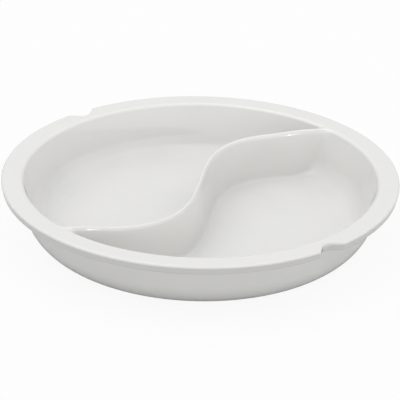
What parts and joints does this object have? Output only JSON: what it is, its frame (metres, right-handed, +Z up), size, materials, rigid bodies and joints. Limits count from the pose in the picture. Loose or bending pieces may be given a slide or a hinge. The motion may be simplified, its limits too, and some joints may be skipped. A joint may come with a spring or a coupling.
{
  "type": "divided buffet insert",
  "caption": "Round white porcelain buffet insert with a flat rim, finger notches in the rim's edge and an S-shaped wall that parts the bowl into matching compartments.",
  "frame": {"origin": "centre of the foot's contact plane, on the bowl's axis", "axes": "+Z up along the bowl's axis, +X along the chord from one end of the divider to the other"},
  "size_m": [0.39, 0.39, 0.064],
  "materials": {
    "glaze": "glossy clear glaze over white porcelain",
    "bare_foot": "porcelain, glazed on its outer side and wiped bare where it stands"
  },
  "bodies": {
    "root": {"foot_ring": "bare_foot", "bowl_floor": "glaze", "bowl_wall": "glaze", "rim_flange": "glaze", "divider_wall": "glaze"}
  },
  "joints": []
}
